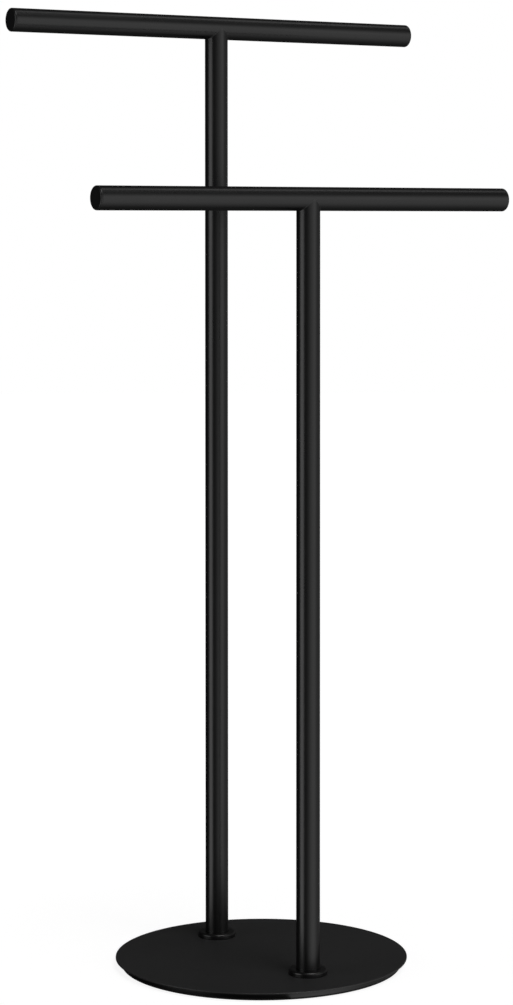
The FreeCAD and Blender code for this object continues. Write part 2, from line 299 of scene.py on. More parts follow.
class SettledDust(Effect):
    """A mask of the thin film and the specks that settle on faces that look up."""

    title = "settled dust"
    inputs = {"Film": 0.3, "Specks": 0.5}
    outputs = ("Mask",)
    upward_span = (0.45, 0.98)
    film_cells = 9.0
    film_span = (0.3, 0.75)
    film_range = (0.2, 1.0)
    speck_cells = 210.0
    speck_span = (0.0, 0.09)
    speck_range = (1.0, 0.0)
    crowd_cells = 60.0
    crowd_span = (0.58, 0.66)

    def wire(self, bench: NodeBench, given: Sockets) -> dict[str, object]:
        """Adds a patchy film and sparse specks, faded out on faces that look sideways or down.

        Args:
            bench: The group's tree.
            given: How strong the Film and the Specks are.

        Returns:
            The dust's Mask.
        """
        where = bench.position()
        normal = bench.add("NewGeometry").outputs["Normal"]
        upward = bench.add("SeparateXYZ", {"Vector": normal}).outputs["Z"]
        patchy = bench.remap(
            bench.noise(self.film_cells, detail=4.0, where=where), self.film_span, self.film_range
        )
        film = bench.math("MULTIPLY", patchy, given["Film"])
        cell = bench.add("TexVoronoi", {"Vector": where, "Scale": self.speck_cells})
        speck = bench.remap(cell.outputs["Distance"], self.speck_span, self.speck_range)
        crowd = bench.remap(bench.noise(self.crowd_cells, detail=1.0, where=where), self.crowd_span)
        specks = bench.math("MULTIPLY", bench.math("MULTIPLY", speck, crowd), given["Specks"])
        dust = bench.math("ADD", film, specks, clamp=True)
        return {"Mask": bench.math("MULTIPLY", dust, bench.remap(upward, self.upward_span))}


Effects = dict[type[Effect], Effect]


class SurfaceBench(NodeBench):
    """Adds the nodes of one material and links them to its shader.

    Args:
        material: The material.
        effects: The shared node groups, by kind.
    """

    def __init__(self, material: bpy.types.Material, effects: Effects) -> None:
        """Keeps the material's tree, its Principled shader and the effects."""
        super().__init__(material.node_tree)
        self.shader = material.node_tree.nodes["Principled BSDF"]
        self.effects = effects

    def place(self, effect: type[Effect], **values: float) -> Sockets:
        """Places a shared node group.

        Args:
            effect: Its kind.
            values: The group's inputs, in lower case.

        Returns:
            The placed group's outputs.
        """
        node = self.add("Group", node_tree=self.effects[effect].tree)
        for name, value in values.items():
            self.feed(node.inputs[name.capitalize()], value)
        return node.outputs

    def paint(self, colour: object, roughness: object) -> None:
        """Links the shader's colour and roughness."""
        self.feed(self.shader.inputs["Base Color"], colour)
        self.feed(self.shader.inputs["Roughness"], roughness)

    def relief(self, height: object, depth: float, strength: float = 1.0) -> None:
        """Gives the shader a fine relief of a height from 0 to 1, where 1 stands out by depth."""
        bump = self.add("Bump", {"Height": height, "Strength": strength, "Distance": depth})
        self.feed(self.shader.inputs["Normal"], bump.outputs["Normal"])


# ---- finishes ----

@dataclass(frozen=True)
class Finish(ABC):
    """A surface finish. Its fields are its look, and make() turns them into a material."""

    title: ClassVar[str]
    slot: ClassVar[Slot]

    def make(self, effects: Effects) -> bpy.types.Material:
        """Makes the material.

        Args:
            effects: The shared node groups, by kind.

        Returns:
            The material, named for the finish.
        """
        material = bpy.data.materials.new(self.title)
        material.use_nodes = True
        self.wire(SurfaceBench(material, effects))
        return material

    @abstractmethod
    def wire(self, bench: SurfaceBench) -> None:
        """Gives the shader its colour, its roughness and its relief.

        Args:
            bench: The material's nodes.
        """


@dataclass(frozen=True)
class PowderCoat(Finish):
    """Satin black powder coat on steel: fine orange peel, thin at the edges, a trace of dust."""

    title: ClassVar[str] = "satin black powder coat"
    slot: ClassVar[Slot] = Slot.BLACK_COAT
    colour: Colour = (0.0036, 0.0036, 0.0038, 1.0)
    thin_colour: Colour = (0.009, 0.009, 0.0094, 1.0)
    dust_colour: Colour = (0.16, 0.155, 0.15, 1.0)
    roughness: float = 0.27
    patch_change: float = 0.03
    edge_shine: float = 0.06
    dust_dulling: float = 0.3
    dust_film: float = 0.012
    dust_specks: float = 0.2
    peel_cells: float = 620.0
    peel_depth: float = 0.016 * MM
    peel_strength: float = 0.4

    def wire(self, bench: SurfaceBench) -> None:
        """Lets colour and gloss follow the edges, the patches and the dust, and adds the peel.

        Args:
            bench: The material's nodes.
        """
        grain = bench.place(SurfaceGrain, cells=self.peel_cells)
        edges = bench.place(EdgeWear)["Mask"]
        dust = bench.place(SettledDust, film=self.dust_film, specks=self.dust_specks)["Mask"]
        coat = bench.mix(edges, self.colour, self.thin_colour)
        gloss = bench.math("MULTIPLY_ADD", grain["Mottle"], self.patch_change, self.roughness)
        gloss = bench.math("MULTIPLY_ADD", edges, -self.edge_shine, gloss)
        gloss = bench.math("MULTIPLY_ADD", dust, self.dust_dulling, gloss)
        bench.paint(bench.mix(dust, coat, self.dust_colour), gloss)
        bench.relief(grain["Height"], self.peel_depth, self.peel_strength)


@dataclass(frozen=True)
class TexturedCoatWithPaintedLight(PowderCoat):
    """The base's coat: the same black powder, with a finer and duller texture, and a lighter colour that
    is painted light.
    """

    title: ClassVar[str] = "textured black powder coat"
    # Painted light: these colours are several times lighter than the same powder on the posts. They stand
    # in for the light that falls on the base's top.
    colour: Colour = (0.0265, 0.0265, 0.027, 1.0)
    thin_colour: Colour = (0.028, 0.028, 0.0286, 1.0)
    roughness: float = 0.45
    edge_shine: float = 0.12
    peel_cells: float = 900.0
    peel_depth: float = 0.03 * MM


@dataclass(frozen=True)
class MouldedCap(Finish):
    """Black moulded plastic with a fine spark-eroded grain, a little duller than the coat."""

    title: ClassVar[str] = "moulded black plastic"
    slot: ClassVar[Slot] = Slot.CAP_PLASTIC
    colour: Colour = (0.0038, 0.0038, 0.004, 1.0)
    rubbed_colour: Colour = (0.01, 0.01, 0.0104, 1.0)
    roughness: float = 0.32
    patch_change: float = 0.04
    patch_cells: float = 60.0
    edge_shine: float = 0.08
    edge_width: float = 0.8 * MM
    grain_cells: float = 1500.0
    grain_depth: float = 0.012 * MM
    grain_strength: float = 0.35

    def wire(self, bench: SurfaceBench) -> None:
        """Adds the moulded grain, and rubs the rim a little smoother and paler.

        Args:
            bench: The material's nodes.
        """
        grain = bench.place(SurfaceGrain, cells=self.grain_cells, patches=self.patch_cells)
        edges = bench.place(EdgeWear, width=self.edge_width)["Mask"]
        gloss = bench.math("MULTIPLY_ADD", grain["Mottle"], self.patch_change, self.roughness)
        gloss = bench.math("MULTIPLY_ADD", edges, -self.edge_shine, gloss)
        bench.paint(bench.mix(edges, self.colour, self.rubbed_colour), gloss)
        bench.relief(grain["Height"], self.grain_depth, self.grain_strength)


@dataclass(frozen=True)
class PadRubber(Finish):
    """Dark foamed rubber: pebbled, dull, and paler where it is rubbed."""

    title: ClassVar[str] = "dark pad rubber"
    slot: ClassVar[Slot] = Slot.PAD_RUBBER
    colour: Colour = (0.0075, 0.0075, 0.0075, 1.0)
    scuffed_colour: Colour = (0.02, 0.0195, 0.019, 1.0)
    roughness: float = 0.78
    scuff_span: Span = (0.6, 1.0)
    scuff_range: Span = (0.0, 0.45)
    scuff_shine: float = 0.1
    patch_cells: float = 25.0
    edge_width: float = 0.7 * MM
    pebble_cells: float = 900.0
    pebble_depth: float = 0.12 * MM

    def wire(self, bench: SurfaceBench) -> None:
        """Adds the pebbles, and scuffs that follow the patches and the edges.

        Args:
            bench: The material's nodes.
        """
        grain = bench.place(SurfaceGrain, cells=self.pebble_cells, patches=self.patch_cells)
        edges = bench.place(EdgeWear, width=self.edge_width)["Mask"]
        patches = bench.remap(grain["Mottle"], self.scuff_span, self.scuff_range)
        scuff = bench.math("MAXIMUM", edges, patches)
        gloss = bench.math("MULTIPLY_ADD", scuff, -self.scuff_shine, self.roughness)
        bench.paint(bench.mix(scuff, self.colour, self.scuffed_colour), gloss)
        bench.relief(grain["Height"], self.pebble_depth)


@dataclass(frozen=True)
class ZincPlate(Finish):
    """Bright zinc plate on turned steel: clouded, faintly yellow in places, worn at the edges."""

    title: ClassVar[str] = "zinc plated steel"
    slot: ClassVar[Slot] = Slot.PLATED_STEEL
    colour: Colour = (0.56, 0.57, 0.58, 1.0)
    cloud_colour: Colour = (0.52, 0.5, 0.42, 1.0)
    bare_colour: Colour = (0.42, 0.41, 0.4, 1.0)
    roughness: float = 0.3
    cloud_change: float = 0.12
    cloud_cells: float = 120.0
    edge_width: float = 0.5 * MM
    turning_cells: float = 1800.0
    turning_depth: float = 0.02 * MM

    def wire(self, bench: SurfaceBench) -> None:
        """Lets clouds change colour and gloss, and adds fine turning marks.

        Args:
            bench: The material's nodes.
        """
        bench.shader.inputs["Metallic"].default_value = 1.0
        grain = bench.place(SurfaceGrain, cells=self.turning_cells, patches=self.cloud_cells)
        edges = bench.place(EdgeWear, width=self.edge_width)["Mask"]
        clouded = bench.mix(grain["Mottle"], self.colour, self.cloud_colour)
        gloss = bench.math("MULTIPLY_ADD", grain["Mottle"], self.cloud_change, self.roughness)
        bench.paint(bench.mix(edges, clouded, self.bare_colour), gloss)
        bench.relief(grain["Height"], self.turning_depth)


class Dresser:
    """Makes each finish once and puts it on the pieces.

    Args:
        finishes: The finishes, one of each kind.
    """

    def __init__(self, finishes: Iterable[Finish]) -> None:
        """Makes the shared effects and the materials."""
        effects = {kind: kind() for kind in (SurfaceGrain, EdgeWear, SettledDust)}
        self.materials = {type(finish): finish.make(effects) for finish in finishes}

    def dress_piece(self, piece: bpy.types.Object, finish: type[Finish], *nodes: str) -> None:
        """Finishes a new piece, lets it ride on the body and lets it stand for its CAD nodes.

        Args:
            piece: The new piece.
            finish: The kind of its finish.
            nodes: The CAD nodes that it stands for.
        """
        piece.data.materials.append(self.materials[finish])
        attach(piece, BODY)
        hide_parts(*nodes)
        LOG.info("%s: %d faces, %s", piece.name, len(piece.data.polygons), finish.title)

    def dress_node(self, name: str, finish: type[Finish]) -> None:
        """Gives a carried-over CAD node its finish.

        Args:
            name: The node's name.
            finish: The kind of its finish.
        """
        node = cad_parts[name]
        if not node.material_slots:
            node.data.materials.append(None)
        for place in node.material_slots:
            place.material = self.materials[finish]
        LOG.info("%s: CAD shape, %s", name, finish.title)


# ---- meshes ----

def arc(centre: Point, radius: float, start: float, end: float, steps: int) -> list[Point]:
    """Points of an arc in a profile.

    Args:
        centre: The arc's centre, as (radius from the piece's axis, place along it).
        radius: The arc's radius.
        start: Its first angle in degrees, where 0 points away from the axis and 90 along it.
        end: Its last angle in degrees.
        steps: How many parts it is cut into.

    Returns:
        The arc's points, both ends included.
    """
    across, along = centre
    angles = (math.radians(start + (end - start) * step / steps) for step in range(steps + 1))
    return [(across + radius * math.cos(angle), along + radius * math.sin(angle)) for angle in angles]


def upright(x: float, y: float) -> Placer:
    """A placer for pieces turned about a vertical axis."""
    return lambda radius, along, angle: Vector(
        (x + radius * math.cos(angle), y + radius * math.sin(angle), along)
    )


def lying(y: float, z: float) -> Placer:
    """A placer for pieces turned about an axis along X."""
    return lambda radius, along, angle: Vector(
        (along, y + radius * math.cos(angle), z + radius * math.sin(angle))
    )


def pairs(ring: Ring) -> Iterable[tuple[bmesh.types.BMVert, bmesh.types.BMVert]]:
    """Each point of a closed ring with the one after it."""
    return zip(ring, ring[1:] + ring[:1])


class MeshDraft:
    """The points and faces of one piece, gathered ring by ring before its mesh is made.

    Attributes:
        SHARP: The least angle between two faces at which their edge stays sharp.
    """

    SHARP = math.radians(40.0)

    def __init__(self) -> None:
        """Starts an empty draft."""
        self.bm = bmesh.new()

    def ring(self, points: Iterable[Vector]) -> Ring:
        """Adds the points of one ring."""
        return [self.bm.verts.new(point) for point in points]

    def bridge(self, first: Ring, second: Ring) -> None:
        """Joins two closed rings of the same count with quads."""
        for (one, next_one), (other, next_other) in zip(pairs(first), pairs(second)):
            self.bm.faces.new((one, next_one, next_other, other))

    def bridge_all(self, rings: Sequence[Ring], closed: bool = False) -> None:
        """Joins each ring to the one after it.

        Args:
            rings: The rings in order, all of the same count.
            closed: Whether the last ring is joined to the first too.
        """
        for first, second in zip(rings, rings[1:]):
            self.bridge(first, second)
        if closed:
            self.bridge(rings[-1], rings[0])

    def fan(self, ring: Ring, tip: Vector) -> None:
        """Closes a ring with triangles.

        Args:
            ring: The ring.
            tip: The point that all the triangles share.
        """
        peak = self.bm.verts.new(tip)
        for one, other in pairs(ring):
            self.bm.faces.new((one, other, peak))

    def fill(self, *rings: Ring) -> None:
        """Fills the flat face inside the first ring and outside the others."""
        edges = [self.bm.edges.get(pair) for ring in rings for pair in pairs(ring)]
        bmesh.ops.triangle_fill(self.bm, use_beauty=True, edges=edges)

    def turn(self, profile: Sequence[Point], place: Placer, count: int) -> list[Ring]:
        """Turns a profile about an axis.

        Args:
            profile: Points as (radius, place along the axis).
            place: Gives the point at a radius, a place along the axis and an angle.
            count: How many points each ring has.

        Returns:
            One ring for each point of the profile, not joined yet.
        """
        angles = [math.tau * step / count for step in range(count)]
        return [self.ring(place(radius, along, angle) for angle in angles) for radius, along in profile]

    def finish(self, name: str) -> bpy.types.Object:
        """Makes the object, smooth but for its sharp edges.

        Args:
            name: The piece's name.

        Returns:
            The new object, in the scene.
        """
        bmesh.ops.recalc_face_normals(self.bm, faces=self.bm.faces[:])
        for face in self.bm.faces:
            face.smooth = True
        for edge in self.bm.edges:
            edge.smooth = edge.calc_face_angle(0.0) < self.SHARP
        mesh = bpy.data.meshes.new(name)
        self.bm.to_mesh(mesh)
        self.bm.free()
        piece = bpy.data.objects.new(name, mesh)
        bpy.context.scene.collection.objects.link(piece)
        return piece


def spread(start: float, end: float, pitch: float) -> list[float]:
    """Evenly spaced values from start to end, no further apart than pitch, both ends included."""
    parts = max(1, math.ceil(abs(end - start) / pitch))
    return [start + (end - start) * part / parts for part in range(parts + 1)]


# ---- sub-assemblies ----

@dataclass
class RoundBase:
    """The base: a thin plate on a heavy disc a little smaller than it, with a rubber pad below.

    Attributes:
        dresser: Puts the finishes on.
        post_places: Where the posts stand on Y.
        plate_roundings: The radii of the plate's lower and upper rim, as for the other discs.
        plate_hole: The radii of its holes at its underside and its top, as for the other discs.
        hold: How far past a rounding the flat beside it has its first ring.
    """

    dresser: Dresser
    post_places: tuple[float, ...]
    plate_roundings: Span = (0.4 * MM, 0.6 * MM)
    plate_hole: Span = (4.2 * MM, 4.2 * MM)
    weight_roundings: Span = (0.5 * MM, 0.5 * MM)
    weight_hole: Span = (8.55 * MM, 4.2 * MM)
    pad_roundings: Span = (0.3 * MM, 0.3 * MM)
    pad_hole: Span = (12.0 * MM, 12.0 * MM)
    hold: float = 0.3 * MM
    rounding_steps: int = 8
    rim_count: int = 256
    hole_count: int = 48

    def build(self) -> None:
        """Builds the three discs from the top down."""
        # The plate gets the lightened coat with painted light; the weight keeps the plain black coat.
        self.build_disc("base_plate", "coated", self.plate_roundings, self.plate_hole, TexturedCoatWithPaintedLight)
        self.build_disc("base_weight", "coated", self.weight_roundings, self.weight_hole, PowderCoat)
        self.build_disc("base_pad", "moulded", self.pad_roundings, self.pad_hole, PadRubber)

    def build_disc(
        self, node: str, made: str, roundings: Span, hole: Span, finish: type[Finish]
    ) -> None:
        """Builds one disc with a rounded rim and a hole under each post.

        Args:
            node: The CAD node that it stands for.
            made: How it is made, the last word of its name.
            roundings: The radii of its lower and upper rim.
            hole: The radii of its holes at its underside and its top, sunk where the first is wider.
            finish: Its finish.
        """
        low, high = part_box(node)
        radius = high.x
        bottom, top = roundings
        profile = [(radius - bottom - self.hold, low.z)]
        profile += arc((radius - bottom, low.z + bottom), bottom, -90.0, 0.0, self.rounding_steps)
        profile += arc((radius - top, high.z - top), top, 0.0, 90.0, self.rounding_steps)
        profile += [(radius - top - self.hold, high.z)]
        draft = MeshDraft()
        rim = draft.turn(profile, upright(0.0, 0.0), self.rim_count)
        draft.bridge_all(rim)
        mouth, bore = hole
        sides = [(mouth, low.z), (bore, high.z)]
        if mouth > bore:
            sides.insert(1, (bore, low.z + mouth - bore))
        holes = [draft.turn(sides, upright(0.0, y), self.hole_count) for y in self.post_places]
        for rings in holes:
            draft.bridge_all(rings)
        draft.fill(rim[0], *(rings[0] for rings in holes))
        draft.fill(rim[-1], *(rings[-1] for rings in holes))
        self.dresser.dress_piece(draft.finish(f"{node}_{made}"), finish, node)


@dataclass
class TFrame:
    """One frame: the collar on the plate, the post, the rail across its top and the rail's two caps.

    Attributes:
        side: Which of the two frames it is.
        dresser: Puts the finishes on.
        cap_middle: The radius of the ring on a cap's flat face, as a share of the face's.
        level_pitch: The most that two rings of a straight tube lie apart.
        hold: How far past a rounding the straight beside it has its first ring.
        count: How many points each ring has.
        no_crease: The sine below which post and rail meet without a crease.
    """

    side: Side
    dresser: Dresser
    tube_radius: float = 11.0 * MM
    tube_wall: float = 1.5 * MM
    tube_end_rounding: float = 0.12 * MM
    collar_gap: float = 0.15 * MM
    collar_rounding: float = 2.0 * MM
    collar_inner_rounding: float = 0.5 * MM
    joint_bead: float = 0.9 * MM
    joint_gap: float = 0.05 * MM
    cap_rounding: float = 1.5 * MM
    cap_plug_gap: float = 0.3 * MM
    cap_wall: float = 1.6 * MM
    cap_middle: float = 0.55
    level_pitch: float = 60.0 * MM
    hold: float = 0.3 * MM
    count: int = 112
    rounding_steps: int = 8
    edge_steps: int = 3
    bead_steps: int = 5
    no_crease: float = 1e-6

    def build(self) -> None:
        """Builds the frame from the foot up."""
        self.build_collar()
        self.build_post()
        self.build_rail()
        for end in End:
            self.build_cap(end)

    def node(self, name: str) -> str:
        """The name of this frame's CAD node."""
        return f"{self.side.value}_{name}"

    def span(self, name: str) -> tuple[Vector, Vector, Vector]:
        """A node's lowest corner, highest corner and middle."""
        low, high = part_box(self.node(name))
        return low, high, (low + high) / 2

    def rail_axis(self) -> Vector:
        """The middle of the rail, above the post."""
        _, high, middle = self.span("rail_right_cap")
        return Vector((0.0, middle.y, high.z - self.tube_radius))

    def build_collar(self) -> None:
        """Builds the low ring round the foot, with a rounded upper rim."""
        low, high, middle = self.span("foot_collar")
        outer = (high.x - low.x) / 2
        inner = self.tube_radius + self.collar_gap
        big, small = self.collar_rounding, self.collar_inner_rounding
        profile = [(inner, low.z), (outer - self.hold, low.z), (outer, low.z + self.hold)]
        profile += arc((outer - big, high.z - big), big, 0.0, 90.0, self.rounding_steps)
        profile += arc((inner + small, high.z - small), small, 90.0, 180.0, self.rounding_steps)
        draft = MeshDraft()
        draft.bridge_all(draft.turn(profile, upright(middle.x, middle.y), self.count), closed=True)
        piece = draft.finish(self.node("foot_collar_turned"))
        self.dresser.dress_piece(piece, PowderCoat, self.node("foot_collar"))

    def bead_points(self, angle: float, rail: Vector) -> list[Vector]:
        """The coat's bead in the corner between post and rail, at one angle round the post.

        Args:
            angle: The angle round the post, 0 along the rail.
            rail: A point on the rail's axis, above the post.

        Returns:
            Points from the post's wall over the bead to the rail's wall.
        """
        across, away = math.cos(angle), math.sin(angle)
        wall = Vector((across, away, 0.0))
        under = Vector((0.0, away, -abs(across)))
        corner = rail + self.tube_radius * Vector((across, away, -abs(across)))
        crease = wall.cross(under)
        if crease.length < self.no_crease:
            down, out = Vector((0.0, 0.0, -1.0)), Vector((0.0, 0.0, 1.0))
        else:
            crease.normalize()
            down, out = crease.cross(wall), under.cross(crease)
            if down.z > 0.0:
                down, out = -down, -out
        half_turn = math.acos(min(1.0, wall.dot(under))) / 2
        reach = self.joint_bead * math.tan(half_turn) + self.joint_gap
        start, end = corner + down * reach, corner + out * reach
        ways = (step / self.bead_steps for step in range(self.bead_steps + 1))
        return [start * (1 - way) ** 2 + corner * 2 * way * (1 - way) + end * way ** 2 for way in ways]

    def build_post(self) -> None:
        """Builds the post: an open tube, coped to the rail at its top and sealed to it by the coat."""
        low, _, middle = self.span("post")
        rail = self.rail_axis()
        radius = self.tube_radius
        bore = radius - self.tube_wall
        angles = [math.tau * step / self.count for step in range(self.count)]
        beads = [self.bead_points(angle, rail) for angle in angles]
        straight_end = rail.z - radius - self.joint_bead - self.hold
        levels = [low.z] + spread(low.z + self.hold, straight_end, self.level_pitch)
        place = upright(middle.x, middle.y)
        draft = MeshDraft()
        rings = [draft.ring(place(bore, low.z, angle) for angle in angles)]
        rings += [draft.ring(place(radius, level, angle) for angle in angles) for level in levels]
        rings += [draft.ring(bead[step] for bead in beads) for step in range(self.bead_steps + 1)]
        cope = radius + self.joint_gap
        for depth in (radius - self.joint_gap, bore):
            drops = [math.sqrt(cope ** 2 - (depth * math.sin(angle)) ** 2) for angle in angles]
            coped = zip(drops, angles)
            rings.append(draft.ring(place(depth, rail.z - drop, angle) for drop, angle in coped))
        draft.bridge_all(rings, closed=True)
        piece = draft.finish(self.node("post_tube"))
        self.dresser.dress_piece(piece, PowderCoat, self.node("post"))

    def build_rail(self) -> None:
        """Builds the rail: a straight tube with its edges broken, open for the caps."""
        low, high, _ = self.span("rail")
        rail = self.rail_axis()
        radius = self.tube_radius
        bore, edge = radius - self.tube_wall, self.tube_end_rounding
        straight = spread(low.x + self.hold, high.x - self.hold, self.level_pitch)
        profile = arc((radius - edge, low.x + edge), edge, -90.0, 0.0, self.edge_steps)
        profile += [(radius, along) for along in straight]
        profile += arc((radius - edge, high.x - edge), edge, 0.0, 90.0, self.edge_steps)
        profile += [(bore, high.x), (bore, low.x)]
        draft = MeshDraft()
        draft.bridge_all(draft.turn(profile, lying(rail.y, rail.z), self.count), closed=True)
        piece = draft.finish(self.node("rail_tube"))
        self.dresser.dress_piece(piece, PowderCoat, self.node("rail"))

    def build_cap(self, end: End) -> None:
        """Builds a cap: a flat flange with a rounded rim, and a hollow plug inside the tube.

        Args:
            end: The rail's end that it closes.
        """
        name = f"rail_{end.name.lower()}_cap"
        rail_low, rail_high, _ = self.span("rail")
        low, high, _ = self.span(name)
        rail = self.rail_axis()
        if end is End.RIGHT:
            plug_end, tube_end, face = low.x, rail_high.x, high.x
        else:
            plug_end, tube_end, face = high.x, rail_low.x, low.x
        radius = self.tube_radius
        plug = radius - self.tube_wall - self.cap_plug_gap
        edge, big = self.tube_end_rounding, self.cap_rounding
        reach = abs(face - tube_end)
        outline = [(self.cap_middle * (radius - big), reach), (radius - big - self.hold, reach)]
        outline += arc((radius - big, reach - big), big, 90.0, 0.0, self.rounding_steps)
        outline += arc((radius - edge, edge), edge, 0.0, -90.0, self.edge_steps)
        depth, inside = -abs(plug_end - tube_end), plug - self.cap_wall
        outline += [(plug, 0.0), (plug, depth), (inside, depth), (inside, 0.0)]
        profile = [(across, tube_end + end.value * along) for across, along in outline]
        draft = MeshDraft()
        place = lying(rail.y, rail.z)
        rings = draft.turn(profile, place, self.count)
        draft.bridge_all(rings)
        draft.fan(rings[0], place(0.0, face, 0.0))
        draft.fan(rings[-1], place(0.0, tube_end, 0.0))
        piece = draft.finish(self.node(f"{name}_moulded"))
        self.dresser.dress_piece(piece, MouldedCap, self.node(name))


@dataclass
class HiddenFixings:
    """The steel pieces inside the tubes and the base, which keep their CAD shapes."""

    dresser: Dresser
    names: tuple[str, ...] = ("foot_insert", "foot_screw", "head_spigot", "head_bolt", "rail_nut")

    def build(self) -> None:
        """Dresses each piece of both frames."""
        for side in Side:
            for name in self.names:
                self.dresser.dress_node(f"{side.value}_{name}", ZincPlate)


# ---- camera and studio ----

@dataclass(frozen=True)
class PhotoCamera:
    """The photograph's camera.

    Attributes:
        distance: Along the floor, from the base's middle.
        azimuth: Degrees round the object from straight in front, positive to the left.
        height: Above the floor.
        heading: Degrees that it looks to the right of the base's middle line.
        pitch: Degrees that it looks down.
        focal_length: Lens, in millimetres, for a sensor as long as the picture's longer side.
        sensor: That sensor, in millimetres.
        shift_x: Shift of the frame across, in parts of the longer side.
        shift_y: Shift of the frame up, in parts of the longer side.
        reach: The furthest that it sees.
    """

    distance: float = 2.67802
    azimuth: float = 31.5595
    height: float = 0.70182
    heading: float = 0.3856
    pitch: float = 1.8256
    focal_length: float = 101.866
    sensor: float = 36.0
    shift_x: float = -0.02368
    shift_y: float = -0.18831
    reach: float = 60.0

    def build(self) -> None:
        """Makes the camera and makes it the scene's."""
        lens = bpy.data.cameras.new("photo camera")
        lens.lens = self.focal_length
        lens.sensor_width = self.sensor
        lens.shift_x = self.shift_x
        lens.shift_y = self.shift_y
        lens.clip_end = self.reach
        camera = bpy.data.objects.new("photo camera", lens)
        bpy.context.scene.collection.objects.link(camera)
        turn = math.radians(self.azimuth)
        back = -self.distance
        camera.location = (back * math.sin(turn), back * math.cos(turn), self.height)
        rise, aim = math.radians(90.0 - self.pitch), math.radians(self.azimuth + self.heading)
        camera.rotation_euler = (rise, 0.0, -aim)
        bpy.context.scene.camera = camera
        LOG.info("camera: %.0f mm lens, %.2f m away", self.focal_length, self.distance)


@dataclass(frozen=True)
class SoftBox:
    """One large plain lamp that stands upright and faces the object's middle line.

    Attributes:
        title: What it is called.
        bearing: Degrees to the right of the camera, seen from the object.
        distance: From the object's middle line.
        height: Of the lamp's middle, above the floor.
        width: Across the lamp.
        tall: Up the lamp.
        radiance: Its brightness in a mirror, where 1 is white.
    """

    title: str
    bearing: float
    distance: float
    height: float
    width: float
    tall: float
    radiance: float

    def build(self, out: Vector) -> None:
        """Makes the lamp.

        Args:
            out: The direction from the object to it.
        """
        lamp = bpy.data.lights.new(self.title, "AREA")
        lamp.shape = "RECTANGLE"
        lamp.size = self.width
        lamp.size_y = self.tall
        lamp.energy = self.radiance * math.pi * self.width * self.tall
        holder = bpy.data.objects.new(self.title, lamp)
        bpy.context.scene.collection.objects.link(holder)
        holder.location = out * self.distance + Vector((0.0, 0.0, self.height))
        holder.rotation_euler = out.to_track_quat("Z", "Y").to_euler()
        LOG.info("lamp %s: radiance %.2f", self.title, self.radiance)


@dataclass(frozen=True)
class Glow:
    """A bright part of the room, fading out softly all round.

    Attributes:
        title: What it is called.
        bearing: Degrees to the right of the camera, seen from the object.
        elevation: Degrees above the floor.
        tightness: How fast it fades away from its middle.
        radiance: Its brightness in its middle, where 1 is white.
    """

    title: str
    bearing: float
    elevation: float
    tightness: float
    radiance: float

    def wire(self, bench: NodeBench, way: Socket, middle: Vector) -> Socket:
        """Adds the glow to the world.

        Args:
            bench: The world's tree.
            way: The direction that is looked up.
            middle: The direction of the glow's middle.

        Returns:
            The glow's radiance in that direction.
        """
        near = bench.math("MULTIPLY_ADD", bench.dot(way, middle), 0.5, 0.5)
        LOG.info("glow %s: radiance %.2f", self.title, self.radiance)
        return bench.math("MULTIPLY", bench.math("POWER", near, self.tightness), self.radiance)


